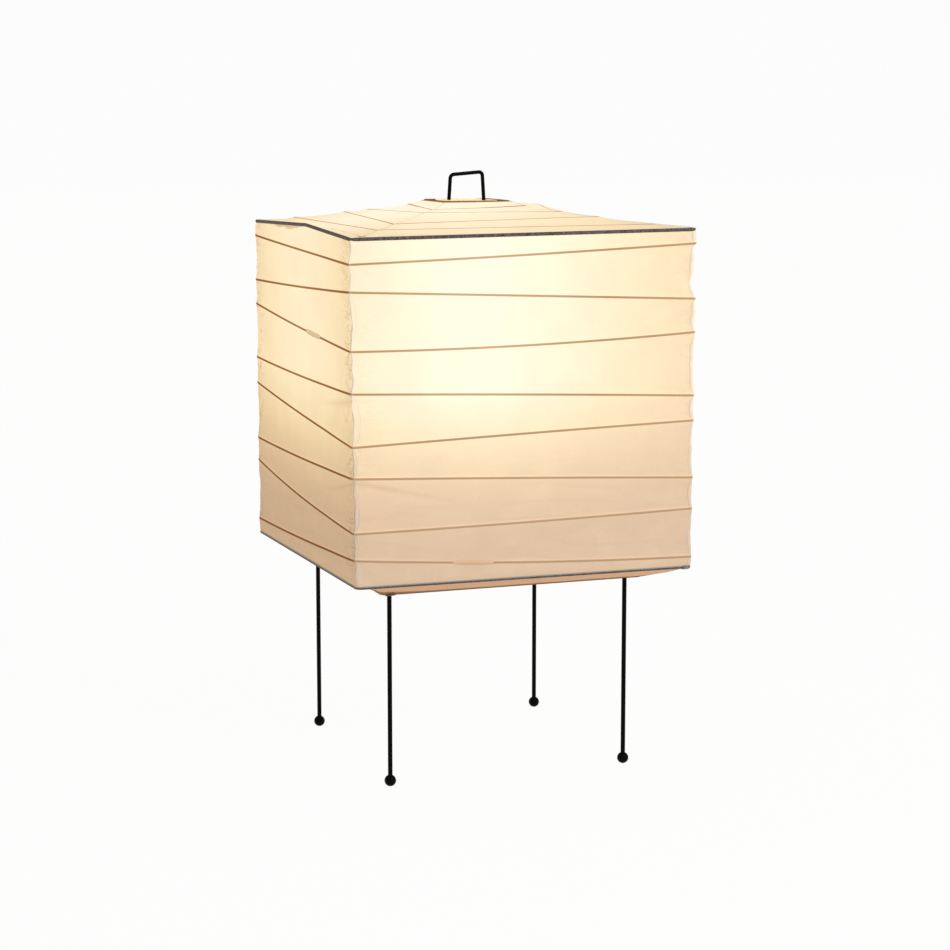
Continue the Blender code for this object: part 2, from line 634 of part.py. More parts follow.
def main():
    for old in list(bpy.data.objects):
        bpy.data.objects.remove(old, do_unlink=True)
    paper = material("washi_paper", (0.88, 0.76, 0.58), 0.9, 0.0)
    rib = material("bamboo_rib", (0.36, 0.19, 0.09), 0.7, 0.0)
    edge = material("edge_wire", (0.10, 0.11, 0.13), 0.6, 0.3)
    black = material("black_enamel", (0.012, 0.012, 0.013), 0.45, 0.2)
    plastic = material("phenolic", (0.02, 0.018, 0.016), 0.5, 0.0)
    ceramic = material("steatite", (0.82, 0.80, 0.75), 0.5, 0.0)
    brass = material("brass", (0.62, 0.45, 0.18), 0.35, 1.0)
    nickel = material("nickel", (0.55, 0.53, 0.50), 0.3, 1.0)
    glass = material("opal_glass", (0.95, 0.94, 0.90), 0.25, 0.0)
    lamp = carrier("lamp", 0, None)
    side_papers(paper, lamp)
    roof_papers(paper, lamp)
    roof_ribs(rib, lamp)
    side_ribs(rib, lamp)
    hem_fold = carrier("hem_fold", HEM_HEIGHT, lamp)
    under_papers(paper, hem_fold)
    edge_wires(edge, lamp, hem_fold)
    crown(rib, lamp)
    base_frame(black, lamp)
    bridge(black, lamp)
    stretcher(black, lamp)
    lampholder(nickel, plastic, ceramic, brass, lamp)
    bulb(glass, nickel, plastic, carrier("bulb_axis", BULB_TIP_BOTTOM, lamp))


main()
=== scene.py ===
"""Paper table lamp: the dressed model, its light and its camera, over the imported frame. Metres, +Z up."""

import math

import bpy
from mathutils import Matrix, Vector, noise


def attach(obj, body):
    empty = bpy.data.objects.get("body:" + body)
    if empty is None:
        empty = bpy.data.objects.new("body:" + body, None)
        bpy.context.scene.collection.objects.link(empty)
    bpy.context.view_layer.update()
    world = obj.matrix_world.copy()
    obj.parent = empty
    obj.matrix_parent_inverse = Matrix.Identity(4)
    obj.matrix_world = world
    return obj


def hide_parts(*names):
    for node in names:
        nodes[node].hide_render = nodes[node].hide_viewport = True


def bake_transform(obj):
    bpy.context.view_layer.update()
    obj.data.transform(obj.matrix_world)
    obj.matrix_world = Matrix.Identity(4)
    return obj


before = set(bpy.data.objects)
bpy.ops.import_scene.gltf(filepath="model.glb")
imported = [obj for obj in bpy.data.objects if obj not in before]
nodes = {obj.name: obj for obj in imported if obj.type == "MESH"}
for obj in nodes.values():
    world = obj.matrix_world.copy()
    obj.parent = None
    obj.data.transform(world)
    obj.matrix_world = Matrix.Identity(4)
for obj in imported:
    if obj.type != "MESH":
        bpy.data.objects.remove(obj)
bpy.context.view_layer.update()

MM = 0.001
SIDES = ("front", "right", "back", "left")
FRONT, BACK, LEFT = 0, 2, 3
CORNERS = {"front_left": (-1, -1), "front_right": (1, -1), "back_right": (1, 1), "back_left": (-1, 1)}

# Sizes that the paper and the wires follow
PAPER_HALF = 130 * MM
PAPER_THICKNESS = 0.3 * MM
EDGE_HALF = 128.8 * MM
CROWN_HALF = 25.75 * MM
LOWER_HALF = 102 * MM
LEG_HALF = 93 * MM
EAVE = 405 * MM
HEM = 156 * MM
CROWN = 424 * MM
LOWER = 146 * MM
KINK = 4.4 * MM
KINK_AT = 17 * MM
KINK_REACH = 22 * MM
NECK_HALF = 37.75 * MM
NECK = 419.8 * MM
ROOF_OUTER = 129 * MM
ROOF_INNER = 26.4 * MM
UNDER_OUTER = 128.2 * MM
UNDER_INNER = 102.4 * MM
WIRE_BEND = 4 * MM
RIB_SAG = 1.5 * MM
# Ribs that hang otherwise, by number and side
OTHER_SAGS = {
    (1, FRONT): 0.7 * MM, (2, FRONT): 0.0, (3, FRONT): 2.5 * MM, (4, FRONT): -0.4 * MM, (5, FRONT): -0.4 * MM,
    (6, FRONT): -0.4 * MM, (7, FRONT): 0.7 * MM, (8, FRONT): 2.4 * MM,
    (1, LEFT): 0.4 * MM, (2, LEFT): 0.9 * MM, (7, LEFT): 3.6 * MM,
}
EAVE_CORNERS = [EAVE - 2.2 * MM, EAVE + 0.8 * MM, EAVE, EAVE]
HEM_CORNERS = [HEM + 1.2 * MM, HEM, HEM, HEM]
# How the shade hangs, at the hem and at the eave: how much wider than its frame, and how far turned
WIDER = (0.9 * MM, 2.05 * MM)
TURNED = (math.radians(0.4), math.radians(-0.3))
# How far the ribs stand out to the left at the near edge, and how far round it that shows
NEAR_OUT = 1.4 * MM
NEAR_REACH = 70 * MM
# The light inside: its middle, the heights where it starts and where it is full, and how wide it spreads
LIGHT_CENTRE = (-38 * MM, 0, 318 * MM)
LIGHT_FROM = 175 * MM
LIGHT_FULL = 312 * MM
FRONT_REACH = 160 * MM
SIDE_REACH = 215 * MM

# How far down the shade each rib crosses the corners: front left, front right, back right, back left
SHADE_HEIGHT = EAVE - HEM
RIB_SHARES = (
    (0.0785, 0.037, 0.068, 0.044),
    (0.1555, 0.199, 0.155, 0.185),
    (0.3215, 0.297, 0.315, 0.260),
    (0.441, 0.485, 0.446, 0.432),
    (0.592, 0.559, 0.588, 0.513),
    (0.681, 0.730, 0.684, 0.692),
    (0.8385, 0.823, 0.845, 0.762),
    (0.915, 0.969, 0.916, 0.955),
)
RIBS = [[EAVE - SHADE_HEIGHT * share for share in shares] for shares in RIB_SHARES]
# How far in from the eave each roof rib crosses the hips
ROOF_SHARES = (
    (0.25, 0.20, 0.25, 0.22),
    (0.42, 0.50, 0.43, 0.52),
    (0.75, 0.70, 0.74, 0.66),
    (0.84, 0.90, 0.85, 0.90),
)
ROOF_START = 127.6 * MM
ROOF_RIBS = [[ROOF_START - (EDGE_HALF - CROWN_HALF) * share for share in shares] for shares in ROOF_SHARES]
# What is measured at each point of a paper: how far to a rib, a lap, a corner, the rib below and a long fold
GAPS = ("rib_gap", "lap_gap", "corner_gap", "ridge_gap", "fold_gap")


def srgb(code):
    """A hex colour as a linear one."""
    parts = [int(code[i:i + 2], 16) / 255 for i in (0, 2, 4)]
    return tuple(p / 12.92 if p <= 0.04045 else ((p + 0.055) / 1.055) ** 2.4 for p in parts) + (1.0,)


def add(tree, kind, inputs=None, **settings):
    """Adds a node with its settings, and links or sets its inputs by name or number."""
    made = tree.nodes.new(kind)
    for name, value in settings.items():
        setattr(made, name, value)
    for name, value in (inputs or {}).items():
        if isinstance(value, bpy.types.NodeSocket):
            tree.links.new(value, made.inputs[name])
        else:
            made.inputs[name].default_value = value
    return made


def reckon(tree, operation, *values):
    """A sum over numbers or sockets."""
    return add(tree, "ShaderNodeMath", dict(enumerate(values)), operation=operation).outputs[0]


def graded(tree, value, low, high, first, last):
    """Runs from first to last as value runs from low to high."""
    return add(tree, "ShaderNodeMapRange", {0: value, 1: low, 2: high, 3: first, 4: last}).outputs[0]


def blended(tree, share, one, other):
    """A colour between two."""
    return add(tree, "ShaderNodeMix", {0: share, 6: one, 7: other}, data_type="RGBA").outputs[2]


def start_material(name):
    made = bpy.data.materials.new(name)
    made.use_nodes = True
    return made, made.node_tree, made.node_tree.nodes["Principled BSDF"]


def washi_paper(name, light, dim=0.23, base_tone="C9BEAE", lap_tone="CFC6BA", rib_share=1.0):
    """Washi, mulberry paper made by hand and pasted on ribs: matt and faintly cloudy, amber where little
    light comes through it and cream where the bulb is near. A rib behind it is painted as a brown line, its
    shadow in the light through the paper, softer where the light is strong or the paper doubled, and two
    layers at a lap show as a duller strip. Creases, folds and lap edges get painted shade."""
    made, tree, shader = start_material(name)
    place = add(tree, "ShaderNodeTexCoord")
    spot, faces = place.outputs["Object"], place.outputs["Normal"]
    rib_gap, lap_gap, corner_gap, ridge_gap, fold_gap = [
        add(tree, "ShaderNodeAttribute", attribute_name=gap).outputs["Fac"] for gap in GAPS
    ]
    rib = graded(tree, rib_gap, 0.55 * MM, 1.05 * MM, 1.0, 0.0)
    halo = graded(tree, rib_gap, 1.0 * MM, 4.0 * MM, 1.0, 0.0)
    ridge = graded(tree, ridge_gap, 0.9 * MM, 2.4 * MM, 1.0, 0.0)
    lap = graded(tree, lap_gap, -0.5 * MM, 1.2 * MM, 1.0, 0.0)
    lap_edge = reckon(tree, "ABSOLUTE", lap_gap)
    lap_edge = graded(tree, lap_edge, 0.1 * MM, 0.7 * MM, 1.0, 0.0)
    corner_fold = graded(tree, corner_gap, 0.1 * MM, 0.9 * MM, 1.0, 0.0)
    near_corner = graded(tree, corner_gap, 5 * MM, 30 * MM, 1.0, 0.0)

    # Light from the bulb: full above its middle, dying away below it, and weaker to the sides
    away = add(tree, "ShaderNodeVectorMath", {0: spot, 1: LIGHT_CENTRE}, operation="SUBTRACT").outputs[0]
    away = add(tree, "ShaderNodeVectorMath", {0: away, 1: (1, 1, 0)}, operation="MULTIPLY").outputs[0]
    reach = add(tree, "ShaderNodeVectorMath", {0: away, 1: away}, operation="DOT_PRODUCT").outputs["Value"]
    square_on = add(tree, "ShaderNodeVectorMath", {0: away, 1: faces}, operation="DOT_PRODUCT")
    square_on = square_on.outputs["Value"]
    square_on = reckon(tree, "MULTIPLY", square_on, square_on)
    aside = reckon(tree, "SUBTRACT", reach, square_on)
    turned = add(tree, "ShaderNodeSeparateXYZ", {0: faces}).outputs["X"]
    turned = reckon(tree, "MULTIPLY", turned, turned)
    spread = graded(tree, turned, 0, 1, FRONT_REACH ** -2, SIDE_REACH ** -2)
    aside = reckon(tree, "MULTIPLY_ADD", aside, spread, 1.0)
    height = add(tree, "ShaderNodeSeparateXYZ", {0: spot}).outputs["Z"]
    height = add(tree, "ShaderNodeMapRange", {0: height, 1: LIGHT_FROM, 2: LIGHT_FULL, 3: 0.0, 4: light},
                 interpolation_type="SMOOTHSTEP").outputs[0]
    glow = reckon(tree, "DIVIDE", height, aside)
    glow = reckon(tree, "ADD", glow, dim)
    weak = graded(tree, glow, 0.28, 0.55, 1.0, 0.0)

    tint = add(tree, "ShaderNodeValToRGB", {0: glow})
    for at, tone in ((0.50, "FFE4AF"), (0.76, "FFF0E4")):
        tint.color_ramp.elements.new(at).color = srgb(tone)
    tint.color_ramp.elements[0].position = 0.23
    tint.color_ramp.elements[0].color = srgb("FFBC82")
    # The glow of the left and right sheets is tinted a shade yellower than that of the front and the back
    tint = add(tree, "ShaderNodeMix", {0: turned, 6: tint.outputs[0], 7: srgb("FFFAE4")}, data_type="RGBA",
               blend_type="MULTIPLY").outputs[2]

    # Cloudy pulp, about 25 mm across, and fibres a few millimetres long, coarser than real ones to show
    pulp = {"Vector": spot, "Scale": 1 / (25 * MM), "Detail": 3.0}
    pulp = add(tree, "ShaderNodeTexNoise", pulp).outputs["Fac"]
    cloud = graded(tree, pulp, 0.25, 0.75, 0.965, 1.035)
    fibre = {"Vector": spot, "Scale": 1 / (2.5 * MM), "Detail": 4.0, "Distortion": 2.5}
    fibre = add(tree, "ShaderNodeTexNoise", fibre)
    fibre = graded(tree, fibre.outputs["Fac"], 0.3, 0.7, 0.98, 1.02)
    uneven = reckon(tree, "MULTIPLY", cloud, fibre)

    # Crinkles round the corners: broken lines about 26 mm by 9 mm, painted as darker lines of shade, most of
    # them on the left and right sheets
    flattened = {0: spot, 1: (1 / (26 * MM), 1 / (26 * MM), 1 / (9 * MM))}
    flattened = add(tree, "ShaderNodeVectorMath", flattened, operation="MULTIPLY").outputs[0]
    crease = {"Vector": flattened, "Scale": 1.0, "Detail": 2.0, "Distortion": 1.2}
    crease = add(tree, "ShaderNodeTexNoise", crease)
    crease = reckon(tree, "SUBTRACT", crease.outputs["Fac"], 0.5)
    crease = reckon(tree, "ABSOLUTE", crease)
    crease = graded(tree, crease, 0.0, 0.045, 1.0, 0.0)
    patchy = graded(tree, pulp, 0.40, 0.54, 0.0, 1.0)
    crease = reckon(tree, "MULTIPLY", crease, patchy)
    crease = reckon(tree, "MULTIPLY", crease, near_corner)
    # Finer ones that fan out from where a rib meets a corner, up to 22 mm long
    angle = reckon(tree, "ARCTAN2", rib_gap, corner_gap)
    angle = reckon(tree, "MULTIPLY", angle, 3.0)
    angle = add(tree, "ShaderNodeCombineXYZ", {"X": angle}).outputs[0]
    fan = add(tree, "ShaderNodeVectorMath", {0: spot, 1: (1 / (60 * MM),) * 3, 2: angle},
              operation="MULTIPLY_ADD").outputs[0]
    fan = add(tree, "ShaderNodeTexNoise", {"Vector": fan, "Scale": 1.0, "Detail": 1.0}).outputs["Fac"]
    fan = reckon(tree, "SUBTRACT", fan, 0.5)
    fan = reckon(tree, "ABSOLUTE", fan)
    fan = graded(tree, fan, 0.0, 0.035, 1.0, 0.0)
    length = add(tree, "ShaderNodeCombineXYZ", {"X": rib_gap, "Y": corner_gap}).outputs[0]
    length = add(tree, "ShaderNodeVectorMath", {0: length}, operation="LENGTH").outputs["Value"]
    length = graded(tree, length, 4 * MM, 22 * MM, 1.0, 0.0)
    fan = reckon(tree, "MULTIPLY", fan, length)
    crease = reckon(tree, "MAXIMUM", crease, fan)
    # Painted shade of the crinkles, deeper on the left and right sheets
    crease_shade_and_wear = graded(tree, turned, 0, 1, 0.08, 0.32)
    crease_shade_and_wear = reckon(tree, "MULTIPLY", crease, crease_shade_and_wear)
    # Painted shade lines along the corner fold and the edges of a lap, stronger where the light is weak and
    # on the side sheets
    edges = reckon(tree, "MAXIMUM", corner_fold, lap_edge)
    line = graded(tree, glow, 0.42, 0.62, 0.30, 0.07)
    line = graded(tree, turned, 0, 1, line, 0.50)
    faint = graded(tree, pulp, 0.38, 0.54, 0.3, 1.0)
    line = reckon(tree, "MULTIPLY", line, faint)
    line = reckon(tree, "MULTIPLY", line, edges)
    crease_shade_and_wear = reckon(tree, "MAXIMUM", crease_shade_and_wear, line)

    # Long soft wrinkles that run with the ribs, about 110 mm by 16 mm, painted as soft shade where the light
    # is weak
    stretched = {0: spot, 1: (1 / (110 * MM), 1 / (110 * MM), 1 / (16 * MM))}
    stretched = add(tree, "ShaderNodeVectorMath", stretched, operation="MULTIPLY").outputs[0]
    wrinkle = {"Vector": stretched, "Scale": 1.0, "Detail": 1.0, "Distortion": 0.5}
    wrinkle = add(tree, "ShaderNodeTexNoise", wrinkle)
    wrinkle = reckon(tree, "SUBTRACT", wrinkle.outputs["Fac"], 0.5)
    wrinkle = reckon(tree, "ABSOLUTE", wrinkle)
    wrinkle = graded(tree, wrinkle, 0.0, 0.11, 0.06, 0.0)
    wrinkle = reckon(tree, "MULTIPLY", wrinkle, patchy)
    wrinkle = reckon(tree, "MULTIPLY", wrinkle, weak)
    crease_shade_and_wear = reckon(tree, "MAXIMUM", crease_shade_and_wear, wrinkle)
    # Long soft folds that die away from their corner, painted as a line of shade
    fold = reckon(tree, "ABSOLUTE", fold_gap)
    fold = graded(tree, fold, 0.4 * MM, 3.2 * MM, 0.13, 0.0)
    dying = graded(tree, corner_gap, 25 * MM, 85 * MM, 1.0, 0.0)
    fold = reckon(tree, "MULTIPLY", fold, dying)
    crease_shade_and_wear = reckon(tree, "MAXIMUM", crease_shade_and_wear, fold)

    # How strongly a rib's painted shadow shows: less in strong light, on the front and back, and through a
    # lap
    shown = graded(tree, glow, 0.55, 0.75, 1.0, 0.78)
    keen = graded(tree, weak, 0, 1, 0.86 * rib_share, 0.66 * rib_share)
    keen = graded(tree, turned, 0, 1, keen, 1.1 * rib_share)
    shown = reckon(tree, "MULTIPLY", shown, keen)
    veiled = graded(tree, lap, 0, 1, 1.0, 0.85)
    shown = reckon(tree, "MULTIPLY", shown, veiled)
    shown = reckon(tree, "MULTIPLY", shown, rib)

    base = blended(tree, lap, srgb(base_tone), srgb(lap_tone))
    # Painted shade of creases, folds and lap edges: the paper darkened to brown, its glow greyed along the
    # lap edges and warmed to amber on the side sheets
    base = blended(tree, crease_shade_and_wear, base, srgb("8A6238"))
    grey = reckon(tree, "MULTIPLY", line, 2.2)
    tint = blended(tree, grey, tint, srgb("D8DCDC"))
    amber = reckon(tree, "MULTIPLY", crease_shade_and_wear, turned)
    tint = blended(tree, amber, tint, srgb("FFC070"))
    # Painted shadow of a rib behind the paper, in the paper's colour and in its glow
    rib_shadow_tone = blended(tree, turned, srgb("8E6C4E"), srgb("7C4A24"))
    base = blended(tree, shown, base, rib_shadow_tone)
    rib_shadow_tint = blended(tree, turned, srgb("FFC98C"), srgb("FFB466"))
    tint = blended(tree, shown, tint, rib_shadow_tint)
    base = add(tree, "ShaderNodeVectorMath", {0: base, 1: uneven}, operation="MULTIPLY").outputs[0]

    # What dims the glow: a rib's shadow, two layers at a lap, and the painted shade of creases, folds and lap
    # edges
    stopped = reckon(tree, "MULTIPLY", shown, 0.75)
    doubled = reckon(tree, "MULTIPLY", lap, 0.17)
    stopped = reckon(tree, "MAXIMUM", stopped, doubled)
    stopped = reckon(tree, "MAXIMUM", stopped, crease_shade_and_wear)
    passed = reckon(tree, "SUBTRACT", 1.0, stopped)
    # Painted highlights: paper beside a rib glows a little brighter, and above it, where it faces up, as if
    # it caught the light of the room
    bright = reckon(tree, "MULTIPLY_ADD", halo, 0.05, 1.0)
    ridge = reckon(tree, "MULTIPLY", ridge, weak)
    bright = reckon(tree, "MULTIPLY_ADD", ridge, 0.5, bright)
    glow = reckon(tree, "MULTIPLY", glow, passed)
    glow = reckon(tree, "MULTIPLY", glow, bright)
    glow = reckon(tree, "MULTIPLY", glow, uneven)

    relief = reckon(tree, "SUBTRACT", fibre, crease)
    bump = add(tree, "ShaderNodeBump", {"Height": relief, "Strength": 0.3, "Distance": 0.3 * MM})
    tree.links.new(base, shader.inputs["Base Color"])
    tree.links.new(tint, shader.inputs["Emission Color"])
    tree.links.new(glow, shader.inputs["Emission Strength"])
    tree.links.new(bump.outputs[0], shader.inputs["Normal"])
    shader.inputs["Roughness"].default_value = 0.92
    shader.inputs["Specular IOR Level"].default_value = 0.2
    return made


def mottled(name, dark, light, spot, rough, metallic=0.0, bump=0.2, gloss=0.5, shine=0.0, shine_tone="FFEFD2",
            lit_top_tone=None):
    """A finish whose colour wanders between two tones over spots of a given size, with a matching relief.
    Shine is light of its own, for lit glass and for paper that lets light through. The last tone, if given,
    is a painted highlight on what faces up, as if lit from above."""
    made, tree, shader = start_material(name)
    place = add(tree, "ShaderNodeTexCoord")
    spots = {"Vector": place.outputs["Object"], "Scale": 1 / spot, "Detail": 5.0, "Roughness": 0.6}
    spots = add(tree, "ShaderNodeTexNoise", spots).outputs["Fac"]
    share = graded(tree, spots, 0.36, 0.64, 0.0, 1.0)
    colour = blended(tree, share, srgb(dark), srgb(light))
    if lit_top_tone:
        # Painted highlight: what faces up is paler, as if lit from above
        up = add(tree, "ShaderNodeSeparateXYZ", {0: place.outputs["Normal"]}).outputs["Z"]
        up = graded(tree, up, 0.1, 0.7, 0.0, 0.85)
        colour = blended(tree, up, colour, srgb(lit_top_tone))
    crease_shade_and_wear = graded(tree, spots, 0.3, 0.7, rough - 0.08, rough + 0.08)
    relief = add(tree, "ShaderNodeBump", {"Height": spots, "Strength": bump, "Distance": 0.15 * MM})
    tree.links.new(colour, shader.inputs["Base Color"])
    tree.links.new(crease_shade_and_wear, shader.inputs["Roughness"])
    tree.links.new(relief.outputs[0], shader.inputs["Normal"])
    shader.inputs["Metallic"].default_value = metallic
    shader.inputs["Specular IOR Level"].default_value = gloss
    shader.inputs["Emission Color"].default_value = srgb(shine_tone)
    shader.inputs["Emission Strength"].default_value = shine
    return made


# Washi on the sides, on the roof, further from the bulb, under the hem, browned by paste, and on the splices
side_washi = washi_paper("washi_sides", 0.455)
roof_washi = washi_paper("washi_roof", 0.47, base_tone="C6BDAC", rib_share=0.95)
under_washi = washi_paper("washi_underside", 0.0, 0.15, "D8B499", "7C5E46")
splice_washi = washi_paper("washi_splices", 0.22, 0.22, "C4B09C", "C4B09C")
# Split bamboo, shaved and bare: warm brown, dull and softly mottled
bamboo = mottled("split_bamboo", "6E4522", "9A6A3A", 4 * MM, 0.62)
# Steel wire bound in dark paper tape: slate grey, speckled where the tape is thin
bound_wire = mottled("paper_bound_wire", "2C2A2D", "6E6B6A", 1.6 * MM, 0.7, bump=0.6)
# The same tape on the hem, with a painted highlight: paler where it faces up, as if lit from above
bound_hem = mottled("paper_bound_hem", "2C2A2D", "6E6B6A", 1.6 * MM, 0.7, bump=0.6, lit_top_tone="B4B2B2")
# Grey paper tape wound over a joint in that wire: paler, and matt
grey_tape = mottled("grey_paper_tape", "5C6062", "A3A6A4", 2.5 * MM, 0.8, bump=0.5)
# Wire bound in pale paper tape, browned by paste
pasted_wire = mottled("pasted_wire", "4A382A", "80634A", 2.2 * MM, 0.75, bump=0.5)
# Split bamboo wrapped in the roof's own paper: cream, brown where the paper is thin, with a painted glow for
# the bulb's light coming through it
wrapped_rib = mottled("paper_wrapped_rib", "DCC6A2", "F4E9D0", 5 * MM, 0.85, bump=0.4, shine=0.42,
                      shine_tone="FFEBC4")
# Steel wire in black stove enamel: near black, dull satin, with a faint orange peel
enamel = mottled("black_stove_enamel", "020202", "050404", 0.8 * MM, 0.46, bump=0.02, gloss=0.06)
# Bare steel strip, dulled by handling: grey brown, with soft paler patches
dull_steel = mottled("dull_steel_strip", "4A443C", "8C8270", 1.5 * MM, 0.45, 0.8, 0.1)
# Nickel plate on turned brass: bright, slightly warm, finely brushed
nickel = mottled("nickel_plate", "8F8B84", "B5B0A6", 1.2 * MM, 0.30, 1.0, 0.05)
# Pressed brass sheet, a little dull
brass = mottled("pressed_brass", "A9843C", "C9A455", 1.5 * MM, 0.36, 1.0, 0.05)
# Moulded phenolic: black brown, satin, with a fine mould grain
phenolic = mottled("moulded_phenolic", "14110F", "221C18", 0.5 * MM, 0.48, bump=0.15)
# Unglazed steatite: off white, matt, faintly grainy
steatite = mottled("unglazed_steatite", "D9D3C6", "E9E4D8", 0.8 * MM, 0.6, bump=0.1)
# Opal glass lit from within: an even warm white under a smooth skin
opal = mottled("opal_glass", "D8CFBC", "E4DCCB", 9 * MM, 0.22, bump=0.02, shine=0.42, shine_tone="FFE2B0")


def clear():
    if bpy.context.object and bpy.context.object.mode != "OBJECT":
        bpy.ops.object.mode_set(mode="OBJECT")
    bpy.ops.object.select_all(action="DESELECT")


def finished(piece, name, finish, body, slot, *stands_for):
    """Names a piece, gives it its finish, and hangs it on the body that carries it."""
    piece.name = name
    piece.data.name = name
    piece.data.materials.clear()
    piece.data.materials.append(finish)
    if body:
        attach(piece, body)
    if stands_for:
        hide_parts(*stands_for)
    return piece


def settle(angle):
    """Merges doubles, turns the faces outwards and smooths the active piece."""
    bpy.ops.object.mode_set(mode="EDIT")
    bpy.ops.mesh.select_all(action="SELECT")
    bpy.ops.mesh.remove_doubles(threshold=0.002 * MM)
    bpy.ops.mesh.normals_make_consistent(inside=False)
    bpy.ops.object.mode_set(mode="OBJECT")
    bpy.ops.object.shade_smooth_by_angle(angle=math.radians(angle))


def pick(points):
    """Selects the vertices of the active piece that lie at the given points. Leaves it in edit mode."""
    bpy.ops.object.mode_set(mode="EDIT")
    bpy.ops.mesh.select_all(action="DESELECT")
    bpy.ops.object.mode_set(mode="OBJECT")
    for vert in bpy.context.object.data.vertices:
        vert.select = any((vert.co - Vector(point)).length < 0.01 * MM for point in points)
    bpy.ops.object.mode_set(mode="EDIT")


def draw(points, closed):
    """Draws a line through points, by extruding one vertex along it. Leaves it open in edit mode."""
    clear()
    bpy.ops.mesh.primitive_plane_add(size=1 * MM, location=points[0])
    bpy.ops.object.transform_apply(location=True)
    bpy.ops.object.mode_set(mode="EDIT")
    bpy.ops.mesh.merge(type="CENTER")
    for here, there in zip(points, points[1:]):
        step = Vector(there) - Vector(here)
        bpy.ops.mesh.extrude_region_move(TRANSFORM_OT_translate={"value": step})
    if closed:
        pick(points[:1] + points[-1:])
        bpy.ops.mesh.edge_face_add()
    return bpy.context.object


def bend_wire(points, width, bend, closed, sides=5, sharp=()):
    """A round wire bent through points. Its corners are rounded, apart from those numbered in sharp."""
    draw(points, closed)
    ends = () if closed else (0, len(points) - 1)
    pick([point for k, point in enumerate(points) if k not in sharp and k not in ends])
    if bend:
        bpy.ops.mesh.bevel(offset=bend, segments=6, affect="VERTICES")
    bpy.ops.object.mode_set(mode="OBJECT")
    bpy.ops.object.convert(target="CURVE")
    curve = bpy.context.object.data
    curve.bevel_depth = width / 2
    curve.bevel_resolution = sides
    curve.use_fill_caps = not closed
    bpy.ops.object.convert(target="MESH")
    settle(50)
    return bpy.context.object


def turn(profile, steps=48, angle=35):
    """A turned piece from (radius, height) points in millimetres, spun round the lamp's axis."""
    draw([(radius * MM, 0, height * MM) for radius, height in profile], False)
    bpy.ops.mesh.select_all(action="SELECT")
    bpy.ops.mesh.spin(steps=steps, angle=math.tau, center=(0, 0, 0), axis=(0, 0, 1))
    settle(angle)
    return bpy.context.object


def copy_to(piece, offset):
    """A copy of a piece with its own mesh, moved by offset."""
    clear()
    piece.select_set(True)
    bpy.context.view_layer.objects.active = piece
    bpy.ops.object.duplicate(linked=False)
    twin = bpy.context.object
    bpy.ops.transform.translate(value=offset)
    bpy.ops.object.transform_apply(location=True)
    return twin


def paper_ring(columns, rows):
    """A square ring of paper, two units wide, cut into columns along each side and rows one unit deep."""
    clear()
    bpy.ops.mesh.primitive_plane_add(size=2)
    bpy.ops.object.mode_set(mode="EDIT")
    bpy.ops.mesh.delete(type="ONLY_FACE")
    bpy.ops.mesh.select_all(action="SELECT")
    bpy.ops.mesh.subdivide(number_cuts=columns - 1)
    for _ in range(rows):
        bpy.ops.mesh.extrude_edges_move(TRANSFORM_OT_translate={"value": (0, 0, -1)})
    bpy.ops.object.mode_set(mode="OBJECT")
    return bpy.context.object


def paper_panel(side, columns, rows):
    """One side of such a ring, as a sheet of its own that faces out."""
    clear()
    turned = side * math.pi / 2
    middle = (math.sin(turned), -math.cos(turned), -rows / 2)
    bpy.ops.mesh.primitive_grid_add(x_subdivisions=columns, y_subdivisions=rows, size=2, location=middle,
                                    rotation=(math.pi / 2, 0, turned))
    bpy.context.object.scale.y = rows / 2
    bpy.ops.object.transform_apply(location=True, rotation=True, scale=True)
    return bpy.context.object


def round_the_square(x, y):
    """Which side a point of the ring is on, and how far along it, from -1 to 1, closer near the corners."""
    if y < -0.9999:
        side, along = 0, x
    elif x > 0.9999:
        side, along = 1, y
    elif y > 0.9999:
        side, along = 2, -x
    else:
        side, along = 3, -y
    return side, math.copysign(1 - (1 - min(abs(along), 1)) ** 1.6, along)


def hung(point):
    """Where a point of the shade comes to lie, once the shade hangs wider and turned."""
    up = min(1, max(0, (point[2] - HEM) / SHADE_HEIGHT))
    wider = WIDER[0] + (WIDER[1] - WIDER[0]) * up
    turned = TURNED[0] + (TURNED[1] - TURNED[0]) * up
    grown = 1 + wider * max(abs(point[0]), abs(point[1])) / PAPER_HALF ** 2
    near = max(0, 1 - math.hypot(point[0] + PAPER_HALF, point[1] + PAPER_HALF) / NEAR_REACH)
    out = NEAR_OUT * near * min(1, up / 0.06, (1 - up) / 0.06)
    return Matrix.Rotation(turned, 3, "Z") @ Vector((point[0] * grown - out, point[1] * grown, point[2]))


def square_to(side, along, out, height):
    """A point given by its side, how far along it, how far out and how high, on a shade that hangs true."""
    x, y = ((along, -out), (out, along), (-along, out), (-out, -along))[side]
    return Vector((x, y, height))


def on_side(side, along, out, height):
    """The same point on the shade as it hangs."""
    return hung(square_to(side, along, out, height))


def eased(share):
    return 0.5 - 0.5 * math.cos(math.pi * share)


def between(ends, side, along):
    """A value that runs straight from corner to corner along a side."""
    share = (along + 1) / 2
    return ends[side] * (1 - share) + ends[(side + 1) % 4] * share


def rounded(along, half, radius):
    """A point of a side of a square with rounded corners."""
    over = abs(along) - (half - radius)
    if over <= 0:
        return along, half
    angle = over / radius * math.pi / 4
    core = half - radius
    return math.copysign(core + radius * math.sin(angle), along), core + radius * math.cos(angle)


def keep_gaps(sheet, measured):
    """Stores what was measured at each point of a sheet, for its paper to read."""
    for name, values in zip(GAPS, zip(*measured)):
        sheet.data.attributes.new(name, "FLOAT", "POINT").data.foreach_set("value", values)


